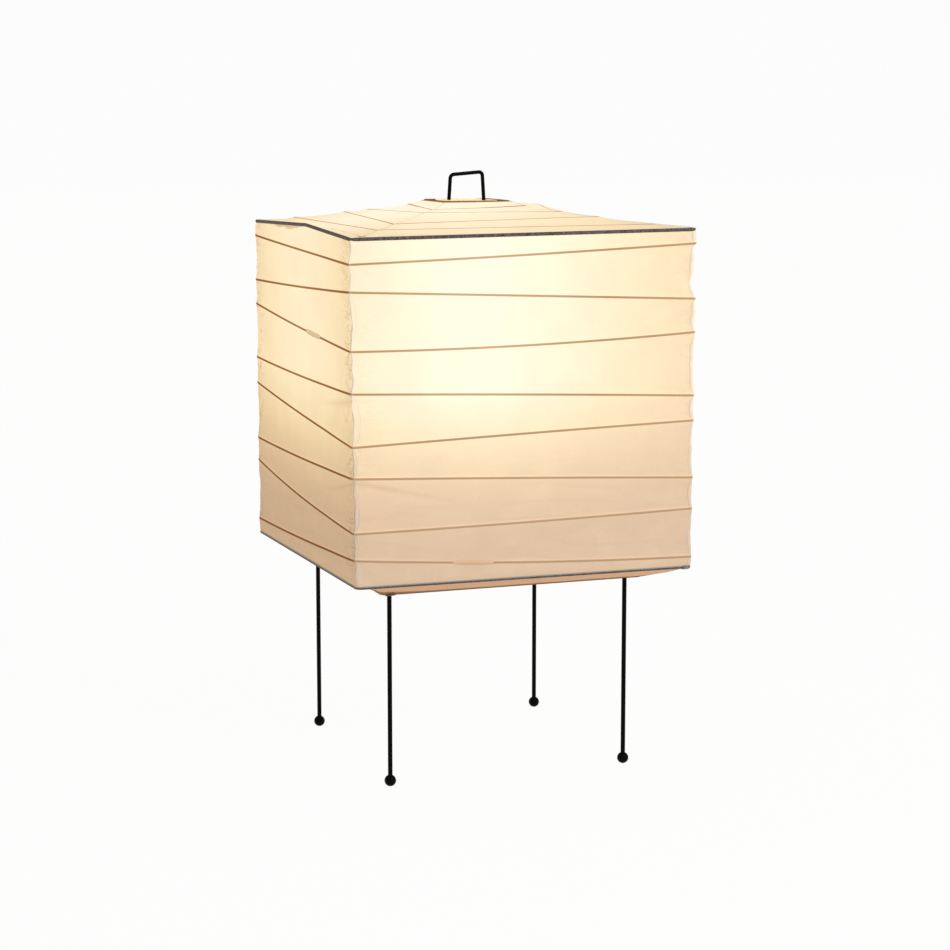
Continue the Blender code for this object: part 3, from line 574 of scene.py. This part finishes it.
def thicken(sheet):
    """Gives the active sheet its thickness, inwards, and smooths it."""
    wall = sheet.modifiers.new("wall", "SOLIDIFY")
    wall.thickness = PAPER_THICKNESS
    wall.offset = -1
    bpy.ops.object.modifier_apply(modifier="wall")
    bpy.ops.object.shade_smooth_by_angle(angle=math.radians(50))


def lay_paper(sheet, where, ring=True):
    """Lays a ring or a sheet of paper: where gives each point its place and its gaps."""
    measured = []
    for vert in sheet.data.vertices:
        side, along = round_the_square(vert.co.x, vert.co.y)
        vert.co, *gaps = where(side, along, round(-vert.co.z))
        measured.append(gaps)
    keep_gaps(sheet, measured)
    clear()
    sheet.select_set(True)
    bpy.context.view_layer.objects.active = sheet
    if ring:
        bpy.ops.object.mode_set(mode="EDIT")
        bpy.ops.mesh.select_all(action="SELECT")
        bpy.ops.mesh.normals_make_consistent(inside=False)
        bpy.ops.object.mode_set(mode="OBJECT")
    thicken(sheet)


BAND_ROWS = 14
FAR = 60 * MM
# How far the paper is pinched in at each corner, in millimetres, and one band that is pinched more
PINCHES = (1.2, 0.4, 0.9, 0.4)
DEEP_PINCH = {(1, 1): 2.0}
# How far the front and back sheets lap over a corner, in millimetres, and band by band at the near one
LAP = 2.6
NEAR_LAPS = (1.0, 1.4, 2.4, 1.0, 4.4, 1.0, 2.6, 1.6, 4.6)
# Long folds from the near corner, by band and side: how far under the rib each starts, and how fast it falls
FOLDS = {(6, FRONT): (2.6 * MM, 0.19), (6, LEFT): (4.0 * MM, 0.16), (4, LEFT): (6.0 * MM, 0.10)}
# How far a side paper's edge stays clear of the middle of an edge wire, and how far it tucks in behind it
WIRE_CLEAR = 0.8 * MM
TUCK = 0.9 * MM
TUCK_REACH = 1.2 * MM
PAPER_CORNER = 2.6 * MM


def rib_height(number, side, along):
    """How high a rib stands, with its sag between the corners."""
    sag = OTHER_SAGS.get((number, side), RIB_SAG)
    return between(RIBS[number - 1], side, along) - sag * (1 - along * along)


def kinked(along):
    """How far the left run of the eave is bent up, straight to its kink and straight down from it."""
    at = KINK_AT / EDGE_HALF
    return KINK * max(0, min((1 + along) / (1 + at), (1 - along) / (1 - at)))


def band_edges(number, side, along):
    """The heights of the wires above and below a band of the sides."""
    if number == 0:
        top = between(EAVE_CORNERS, side, along) + kinked(along) * (side == LEFT) - WIRE_CLEAR
    else:
        top = rib_height(number, side, along)
    if number == len(RIBS):
        bottom = between(HEM_CORNERS, side, along) + WIRE_CLEAR
    else:
        bottom = rib_height(number + 1, side, along)
    return top, bottom


def side_sheet(number, on):
    """The paper of one side between two wires, drawn in between them and pinched at the corners."""
    eave, hem = number == 0, number == len(RIBS)

    def where(side, along, row):
        share = eased(row / BAND_ROWS)
        top, bottom = band_edges(number, side, along)
        deep = top - bottom
        height = top - deep * share
        from_top, from_bottom = deep * share, deep * (1 - share)
        midway = (4 * share * (1 - share)) ** 0.6
        slack = midway * min(1, deep / (25 * MM))
        corner_number = (side + (along > 0)) % 4
        pinch = DEEP_PINCH.get((number, corner_number), PINCHES[corner_number])
        half = PAPER_HALF - slack * (0.6 + pinch * abs(along) ** 7) * MM
        # The edge wires stand outside the paper, which tucks in behind them
        if eave:
            half -= TUCK * math.exp(-from_top / TUCK_REACH)
        if hem:
            half -= TUCK * math.exp(-from_bottom / TUCK_REACH)
        corner = PAPER_HALF * (1 - abs(along))
        # The front and back sheets' edges are lapped over the corners, raggedly
        wave = noise.noise(Vector((side * 3 + math.copysign(1, along), 0, height / (9 * MM))))
        if side in (FRONT, BACK):
            wide = LAP if corner_number else NEAR_LAPS[number]
            lap = corner - (1.2 + wide * midway + 1.2 * wave) * MM
            half += 0.22 * MM * max(0, min(1, -lap / (0.5 * MM))) * min(1, slack * 3)
        else:
            lap = corner - (0.8 + 1.8 * wave) * MM
        near = max(0, 1 - corner / (32 * MM)) ** 1.5
        fold = noise.noise(Vector((side * 7 + along * 5, number, height / (6 * MM))))
        ripple = noise.noise(Vector((side * 11 + along * 16, number * 2, height / (14 * MM))))
        half += slack * (0.6 * near * fold + 0.22 * ripple) * MM
        from_fold = FAR
        if (number, side) in FOLDS:
            start, fall = FOLDS[number, side]
            from_near = PAPER_HALF * (1 + along if side == FRONT else 1 - along)
            from_fold = from_top - start - fall * from_near
            half -= slack * MM * math.exp(-(from_fold / (3 * MM)) ** 2) * max(0, 0.8 - from_near / (90 * MM))
        point = on_side(side, *rounded(along * half, half, PAPER_CORNER), height)
        sway = noise.noise(Vector((point.x * 9, point.y * 9, height / (10 * MM))))
        point += Vector((sway, -sway, 0)) * 1.3 * pinch * MM * slack * max(0, 1 - corner / (8 * MM))
        rib = min(FAR if eave else from_top, FAR if hem else from_bottom)
        if eave and side == LEFT:
            # The ragged end of the paper, turned over the eave wire beside its kink, drawn as a brown band
            # with a rib's line
            torn = 2.9 + 1.4 * noise.noise(Vector((along * 7, 3, 0)))
            torn *= max(0, min(1, 2 * (1 - abs(along + 0.25) / 0.34)))
            rib = min(rib, max(from_top + (0.8 - torn) * MM, 0.86 * MM))
        return point, rib, lap, corner, FAR if hem else from_bottom, from_fold

    sheet = paper_panel(on, 60, BAND_ROWS)
    lay_paper(sheet, where, ring=False)
    return sheet


def hang_between(sheet):
    """Bakes the sheet's placement into its mesh."""
    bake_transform(sheet)


for number in range(9):
    for on, side in enumerate(SIDES):
        sheet = side_sheet(number, on)
        finished(sheet, f"{side}_sheet_{number + 1}", side_washi, None, "washi_paper", f"side_paper_{side}")
        hang_between(sheet)


def splice(number, side, at, reach):
    """A strip of paper pasted over the place where a rib's two ends overlap."""
    clear()
    bpy.ops.mesh.primitive_grid_add(x_subdivisions=24, y_subdivisions=8, size=2)
    strip = bpy.context.object
    measured = []
    for vert in strip.data.vertices:
        across, up = vert.co.x, vert.co.y
        along = at + across * reach
        share = along / PAPER_HALF
        height = rib_height(number, side, share)
        ragged = noise.noise(Vector((across * 4, number, up))) * 0.5 * MM
        out = PAPER_HALF + (0.55 * (1 - up * up) * (1 - across ** 6) - 0.15) * MM
        deep = 1.9 * MM * (1 - 0.45 * across ** 4)
        vert.co = on_side(side, along, out, height + up * deep + ragged)
        # Its top edge gets a painted highlight, as on a ridge, and its outline a painted shade line, as at a
        # lap edge
        lap = -deep * min(1 - abs(up), 8 * (1 - abs(across)))
        measured.append((FAR, lap, FAR, deep * (1 - up), FAR))
    keep_gaps(strip, measured)
    thicken(strip)
    return strip


# Rib, side, place along it and half length, in millimetres
SPLICES = ((1, 1, 40, 17), (2, 2, -55, 18), (3, 3, 34, 19), (4, 1, -30, 16), (5, 2, 48, 19), (6, 1, 62, 17),
           (7, 2, -20, 16), (8, 0, -42.4, 16))
for number, side, at, reach in SPLICES:
    strip = splice(number, side, at * MM, reach * MM)
    finished(strip, f"rib_splice_{number}", splice_washi, f"rib_{number}", "washi_paper")


def roof_height(half):
    """A long low slope, with a steeper neck up to the crown."""
    if half <= NECK_HALF:
        return CROWN - (CROWN - NECK) * (half - CROWN_HALF) / (NECK_HALF - CROWN_HALF)
    return NECK - (NECK - EAVE) * (half - NECK_HALF) / (EDGE_HALF - NECK_HALF)


PUFF = 4 * MM
PUFF_AT = (54 * MM, -5 * MM, 0)
PUFF_REACH = 16 * MM


def roof_surface(side, along, half, across):
    """The height of the roof: let down with the eave's corner, kinked on the left, puffed beside the neck."""
    height = roof_height(half) + 1.5 * MM * math.exp(-(ROOF_OUTER - half) / (5 * MM))
    down = max(0, (half - NECK_HALF) / (EDGE_HALF - NECK_HALF))
    height += (between(EAVE_CORNERS, side, along) - EAVE) * down
    if side == LEFT:
        height += kinked(across / EDGE_HALF) * max(0, 1 - (EDGE_HALF - half) / KINK_REACH)
    puff = (square_to(side, across, half, 0) - Vector(PUFF_AT)).length / PUFF_REACH
    return height + PUFF * math.exp(-puff * puff / 2)


ROOF_LINES = [[ROOF_OUTER] * 4] + ROOF_RIBS + [[ROOF_INNER] * 4]
ROOF_ROWS = 7


def roof_place(side, along, row):
    """The roof's paper, drawn in between its ribs."""
    part, step = divmod(row, ROOF_ROWS)
    if part == len(ROOF_LINES) - 1:
        part, step = part - 1, ROOF_ROWS
    share = eased(step / ROOF_ROWS)
    outer, inner = ROOF_LINES[part], ROOF_LINES[part + 1]
    line = [o + (i - o) * share for o, i in zip(outer, inner)]
    half = between(line, side, along)
    first, last = line[side], line[(side + 1) % 4]
    across = -first + (first + last) * (along + 1) / 2
    wide = between(outer, side, along) - between(inner, side, along)
    slack = (4 * share * (1 - share)) ** 0.6 * min(1, wide / (20 * MM))
    height = roof_surface(side, along, half, across) - slack * (0.45 + 0.5 * abs(along) ** 6) * MM
    height += slack * 0.25 * MM * noise.noise(Vector((side * 5 + along * 9, half / (9 * MM), 2)))
    from_outer, from_inner = wide * share, wide * (1 - share)
    hip = half - abs(across)
    # The edge of the side papers, turned in over the eave wire, shows as one more line
    wave = noise.noise(Vector((side * 3, along * 6, 5)))
    turned_in = abs(ROOF_OUTER - half - (10.5 + 1.5 * wave) * MM)
    rib = min(FAR if part == 0 else from_outer, from_inner, hip + 0.55 * MM, turned_in + 0.3 * MM)
    lap = min(ROOF_OUTER - half - (4.4 + 0.8 * wave) * MM, hip - 1.2 * MM)
    return on_side(side, across, half, height), rib, lap, hip, FAR, FAR


roof = paper_ring(40, ROOF_ROWS * (len(ROOF_LINES) - 1))
lay_paper(roof, roof_place)
finished(roof, "roof_washi", roof_washi, "lamp", "washi_paper", *[f"roof_paper_{side}" for side in SIDES])

# Ribs of split bamboo, close behind their lines on the paper
RIB_GAUGE = 1.6 * MM
RIB_BEND = 1.4 * MM
RIB_STEPS = 12
BEHIND_PAPER = 1.2 * MM


def bend_rib(where):
    """A closed rib: where gives each point, by side and by how far along it."""
    stops = [-1 + 2 * step / RIB_STEPS for step in range(RIB_STEPS)]
    points = [tuple(where(side, along)) for side in range(4) for along in stops]
    straight = [k for k in range(len(points)) if k % RIB_STEPS]
    return bend_wire(points, RIB_GAUGE, RIB_BEND, True, sides=3, sharp=straight)


def side_rib_place(number, side, along):
    half = PAPER_HALF - BEHIND_PAPER
    return on_side(side, along * half, half, rib_height(number, side, along))


def roof_rib_place(number, side, along):
    line = ROOF_RIBS[number - 1]
    first, last = line[side], line[(side + 1) % 4]
    half = between(line, side, along)
    across = -first + (first + last) * (along + 1) / 2
    return on_side(side, across, half, roof_surface(side, along, half, across) - BEHIND_PAPER)


for number in range(1, 9):
    rib = bend_rib(lambda side, along: side_rib_place(number, side, along))
    finished(rib, f"bamboo_side_rib_{number}", bamboo, f"rib_{number}", "bamboo_rib", f"side_rib_{number}")
for number in range(1, 5):
    rib = bend_rib(lambda side, along: roof_rib_place(number, side, along))
    finished(rib, f"bamboo_roof_rib_{number}", bamboo, "lamp", "bamboo_rib", f"roof_rib_{number}")

UNDER_ROWS = 8


def under_place(side, along, row):
    """The strip under the shade, from the hem in to the lower ring, drawn up at the near corner."""
    share = row / UNDER_ROWS
    half = UNDER_OUTER + (UNDER_INNER - UNDER_OUTER) * share
    slack = 4 * share * (1 - share)
    hem = between(HEM_CORNERS, side, along)
    height = hem + (LOWER - hem) * share - 0.2 * MM
    drawn_up = max(0, {FRONT: -along, LEFT: along}.get(side, 0)) ** 5
    ripple = noise.noise(Vector((side * 5 + along * 8, share * 3, 9)))
    height += slack * (2.6 * drawn_up - 0.4 - 0.3 * ripple) * MM
    corner = half * (1 - abs(along))
    lap = min(half - LOWER_HALF - 5 * MM, corner - 1.5 * MM)
    return on_side(side, along * half, half, height), FAR, lap, corner, FAR, FAR


under = paper_ring(40, UNDER_ROWS)
lay_paper(under, under_place)
finished(under, "underside_washi", under_washi, "shade_bottom", "washi_paper",
         *[f"under_paper_{side}" for side in SIDES])

# Edge wires, bound in paper tape, with a taped joint in the lower one
EAVE_GAUGE = 2.7 * MM
HEM_GAUGE = 2.3 * MM
JOINT_GAUGE = 3.1 * MM
JOINT_REACH = 6.5 * MM
JOINT_DROP = 0.3 * MM
RING_GAUGE = 2.0 * MM
square = [(x * EDGE_HALF, y * EDGE_HALF) for x, y in CORNERS.values()]
eave_points = [(x, y, z) for (x, y), z in zip(square, EAVE_CORNERS)]
eave_points += [(-EDGE_HALF, -KINK_AT, between(EAVE_CORNERS, 3, KINK_AT / EDGE_HALF) + KINK)]
eave_wire = bend_wire([tuple(hung(point)) for point in eave_points], EAVE_GAUGE, WIRE_BEND, True, sharp=(4,))
finished(eave_wire, "bound_eave_wire", bound_wire, "lamp", "edge_wire", "eave_wire")
hem_points = [(x, y, z) for (x, y), z in zip(square, HEM_CORNERS)]
hem_wire = bend_wire([tuple(hung(point)) for point in hem_points], HEM_GAUGE, WIRE_BEND, True)
finished(hem_wire, "bound_hem_wire", bound_hem, "shade_bottom", "edge_wire", "hem_wire")
reach = EDGE_HALF - JOINT_REACH
bend = ((reach, -EDGE_HALF), (EDGE_HALF, -EDGE_HALF), (EDGE_HALF, -reach))
joint_points = [tuple(hung((x, y, HEM - JOINT_DROP))) for x, y in bend]
joint = bend_wire(joint_points, JOINT_GAUGE, WIRE_BEND, False)
finished(joint, "hem_wire_taped_joint", grey_tape, "shade_bottom", "edge_wire")
ring_points = [tuple(hung((x * LOWER_HALF, y * LOWER_HALF, LOWER))) for x, y in CORNERS.values()]
lower_ring = bend_wire(ring_points, RING_GAUGE, WIRE_BEND, True)
finished(lower_ring, "pasted_lower_ring", pasted_wire, "shade_bottom", "edge_wire", "lower_ring")

# Crown wire and the yoke in it
CROWN_GAUGE = 1.4 * MM
YOKE_GAUGE = 1.6 * MM
YOKE_HALF = (17.05 * MM, 23.45 * MM)
crown_points = [(x * CROWN_HALF, y * CROWN_HALF, CROWN) for x, y in CORNERS.values()]
crown = bend_wire(crown_points, CROWN_GAUGE, WIRE_BEND, True)
finished(crown, "bamboo_crown_wire", bamboo, "lamp", "bamboo_rib", "crown_wire")
yoke_points = [(x * YOKE_HALF[0], y * YOKE_HALF[1], CROWN) for x, y in CORNERS.values()]
yoke = bend_wire(yoke_points, YOKE_GAUGE, WIRE_BEND, True)
finished(yoke, "wrapped_crown_yoke", wrapped_rib, "lamp", "bamboo_rib", "crown_yoke")

# Stretcher: one wire from ferrule to ferrule, with the handle at its top. Its bends are given in millimetres
STRETCHER_GAUGE = 2.8 * MM
STRETCHER_BEND = 2.7 * MM
left_run = [(-42, 156.1), (-42, 333.1), (-22.05, 408), (-22.05, 421.2), (-14.25, 421.2)]
run = left_run + [(-12.75, 443.5), (12.75, 445.5)] + [(-x, z) for x, z in reversed(left_run)]
stretcher = bend_wire([(x * MM, 0, z * MM) for x, z in run], STRETCHER_GAUGE, STRETCHER_BEND, False)
finished(stretcher, "stretcher_and_handle", enamel, "lamp", "black_enamel", "stretcher_handle")

# Legs and ball feet, modelled once each and copied. A ball is cut flat below, and holed for its leg
LEG_GAUGE = 3.4 * MM
LEG_FOOT = 4.2 * MM
LEG_TOP = 158 * MM
BALL_RADIUS = 4.3 * MM
BALL_MIDDLE = 4.03 * MM
BALL_TOP = 8.0 * MM
BALL_HOLE = 4.1 * MM
leg = bend_wire([(0, 0, LEG_FOOT), (0, 0, LEG_TOP)], LEG_GAUGE, 0, False)
clear()
bpy.ops.mesh.primitive_uv_sphere_add(segments=40, ring_count=28, radius=BALL_RADIUS,
                                     location=(0, 0, BALL_MIDDLE))
ball = bpy.context.object
bpy.ops.object.transform_apply(location=True)
bpy.ops.object.mode_set(mode="EDIT")
bpy.ops.mesh.select_all(action="SELECT")
bpy.ops.mesh.bisect(plane_co=(0, 0, 0), plane_no=(0, 0, 1), use_fill=True, clear_inner=True,
                    threshold=0.001 * MM)
bpy.ops.mesh.select_all(action="SELECT")
bpy.ops.mesh.bisect(plane_co=(0, 0, BALL_TOP), plane_no=(0, 0, 1), use_fill=True, clear_outer=True)
bpy.ops.mesh.extrude_region_move(TRANSFORM_OT_translate={"value": (0, 0, -BALL_HOLE)})
settle(40)
for corner, (x, y) in CORNERS.items():
    offset = (x * LEG_HALF, y * LEG_HALF, 0)
    here = copy_to(leg, offset)
    finished(here, f"enamel_leg_{corner}", enamel, "lamp", "black_enamel", f"leg_{corner}")
    here = copy_to(ball, offset)
    finished(here, f"enamel_ball_{corner}", enamel, "lamp", "black_enamel", f"ball_foot_{corner}")
for pattern in (leg, ball):
    bpy.data.objects.remove(pattern)

# Clips on two of the legs, bent from strip, that the lower ring drops into: (out, height) in millimetres
CLIP_PATH = ((94.8, 146.6), (94.8, 144.7), (103.6, 144.7), (108.6, 146.3))
CLIP_MIDDLE = 95.9 * MM
CLIP_WIDTH = 6.2 * MM
CLIP_GAUGE = 0.5 * MM
for corner in ("front_left", "back_right"):
    x, y = CORNERS[corner]
    draw([(x * CLIP_MIDDLE - CLIP_WIDTH / 2, y * out * MM, z * MM) for out, z in CLIP_PATH], False)
    bpy.ops.mesh.select_all(action="SELECT")
    bpy.ops.mesh.extrude_region_move(TRANSFORM_OT_translate={"value": (CLIP_WIDTH, 0, 0)})
    bpy.ops.object.mode_set(mode="OBJECT")
    clip = bpy.context.object
    for kind, name in (("SOLIDIFY", "gauge"), ("BEVEL", "edges")):
        clip.modifiers.new(name, kind)
    clip.modifiers["gauge"].thickness = CLIP_GAUGE
    clip.modifiers["gauge"].offset = 0
    clip.modifiers["edges"].width = 0.12 * MM
    clip.modifiers["edges"].segments = 2
    bpy.ops.object.modifier_apply(modifier="gauge")
    bpy.ops.object.modifier_apply(modifier="edges")
    settle(40)
    finished(clip, f"ring_clip_{corner}", dull_steel, "lamp", "black_enamel")

# Lampholder and bulb, as (radius, height) in millimetres
SHELL = [(16.6, 210.4), (19.0, 210.4), (19.0, 213.0), (18.6, 213.6), (18.6, 236.4), (19.0, 237.0),
         (19.0, 240.8), (18.4, 241.4), (16.6, 241.4), (16.6, 210.4)]
finished(turn(SHELL), "holder_shell_ribbed", phenolic, "lamp", "phenolic", "holder_shell")
CAP = [(5.3, 190.1), (11.4, 190.1), (12.0, 190.7), (18.6, 206.8), (19.0, 207.8), (19.0, 210.1), (16.6, 210.1),
       (16.6, 207.7), (9.6, 196.1), (5.3, 196.1), (5.3, 190.1)]
finished(turn(CAP), "holder_base_turned", phenolic, "lamp", "phenolic", "holder_base")
GLOBE_RADIUS, GLOBE_MIDDLE, GLASS_WALL = 30.0, 295.6, 1
NECK_RADIUS, NECK_TOP, NECK_FOOT = 11.2, 245.9, 239.6
GLOBE_STEPS = 22
GLOBE_SWEEP = math.radians(130)


def globe_line(radius):
    """The globe's outline from its crown down to its neck."""
    angles = [GLOBE_SWEEP * step / GLOBE_STEPS for step in range(1, GLOBE_STEPS + 1)]
    return [(radius * math.sin(angle), GLOBE_MIDDLE + radius * math.cos(angle)) for angle in angles]


inner = NECK_RADIUS - GLASS_WALL
glass = [(0.0, GLOBE_MIDDLE + GLOBE_RADIUS - GLASS_WALL)] + globe_line(GLOBE_RADIUS - GLASS_WALL)
glass += [(inner, NECK_TOP), (inner, NECK_FOOT), (NECK_RADIUS, NECK_FOOT), (NECK_RADIUS, NECK_TOP)]
glass += globe_line(GLOBE_RADIUS)[::-1] + [(0.0, GLOBE_MIDDLE + GLOBE_RADIUS)]
finished(turn(glass, 64, 60), "opal_envelope", opal, "bulb", "opal_glass", "bulb_glass")

# CAD nodes that keep their own shape
kept = {
    enamel: [f"base_rail_{side}" for side in SIDES] + [f"leg_socket_{corner}" for corner in CORNERS]
    + ["lamp_bridge"],
    nickel: ["lamp_post", "lock_nut", "bulb_cap", "bulb_contact"],
    phenolic: ["cord_gland", "bulb_insulator"],
    steatite: ["contact_block"],
    brass: ["centre_contact", "screw_liner"],
    opal: ["bulb_stem"],
}
for finish, names in kept.items():
    for name in names:
        nodes[name].material_slots[0].material = finish

# Floor: white, and white to the camera, with a little of its own shading left so that the shadow shows
clear()
bpy.ops.mesh.primitive_plane_add(size=30)
floor = bpy.context.object
floor.name = "floor"
floor_paint, tree, shader = start_material("floor_paint")
shader.inputs["Base Color"].default_value = srgb("F4F4F4")
shader.inputs["Roughness"].default_value = 0.9
path = add(tree, "ShaderNodeLightPath")
seen = reckon(tree, "MAXIMUM", path.outputs["Is Camera Ray"], path.outputs["Is Glossy Ray"])
seen = reckon(tree, "MAXIMUM", seen, path.outputs["Is Transmission Ray"])
seen = reckon(tree, "MULTIPLY", seen, 0.96)
white = add(tree, "ShaderNodeEmission", {"Color": (1, 1, 1, 1), "Strength": 1.0})
mixed = add(tree, "ShaderNodeMixShader", {0: seen, 1: shader.outputs[0], 2: white.outputs[0]})
tree.links.new(mixed.outputs[0], tree.nodes["Material Output"].inputs["Surface"])
floor.data.materials.append(floor_paint)

# Light: an even white room, with a broad soft lamp high on the right of the camera
world = bpy.data.worlds.new("studio")
bpy.context.scene.world = world
world.use_nodes = True
tree = world.node_tree
room = tree.nodes["Background"]
room.inputs["Color"].default_value = srgb("FFF6E8")
room.inputs["Strength"].default_value = 0.60
path = add(tree, "ShaderNodeLightPath")
seen = reckon(tree, "MAXIMUM", path.outputs["Is Camera Ray"], path.outputs["Is Transmission Ray"])
backdrop = add(tree, "ShaderNodeBackground", {"Color": (1, 1, 1, 1), "Strength": 0.978})
mixed = add(tree, "ShaderNodeMixShader", {0: seen, 1: room.outputs[0], 2: backdrop.outputs[0]})
tree.links.new(mixed.outputs[0], tree.nodes["World Output"].inputs["Surface"])


def soft_lamp(name, place, target, size, power):
    clear()
    bpy.ops.object.light_add(type="AREA", location=place)
    lamp = bpy.context.object
    lamp.name = name
    lamp.data.size = size
    lamp.data.energy = power
    lamp.rotation_euler = (Vector(target) - Vector(place)).to_track_quat("-Z", "Y").to_euler()


soft_lamp("key", (1.3, -2.2, 1.9), (0, 0, 0.25), 1.4, 30)

# Camera at the photograph's angle: 20 degrees to the left of the front, a little above
SENSOR = 36
FOCAL_PIXELS, PHOTO_PIXELS = 2371.8, 950
clear()
target = Vector((0.007, 0, 0.2129))
azimuth, elevation, distance = math.radians(-19.935), math.radians(8.5564), 1.8338
level = math.cos(elevation)
aside = Vector((math.sin(azimuth) * level, -math.cos(azimuth) * level, math.sin(elevation)))
bpy.ops.object.camera_add(location=target + aside * distance)
camera = bpy.context.object
camera.rotation_euler = (-aside).to_track_quat("-Z", "Y").to_euler()
camera.data.sensor_width = SENSOR
camera.data.lens = SENSOR * FOCAL_PIXELS / PHOTO_PIXELS
bpy.context.scene.camera = camera
bpy.context.scene.view_settings.view_transform = "Standard"
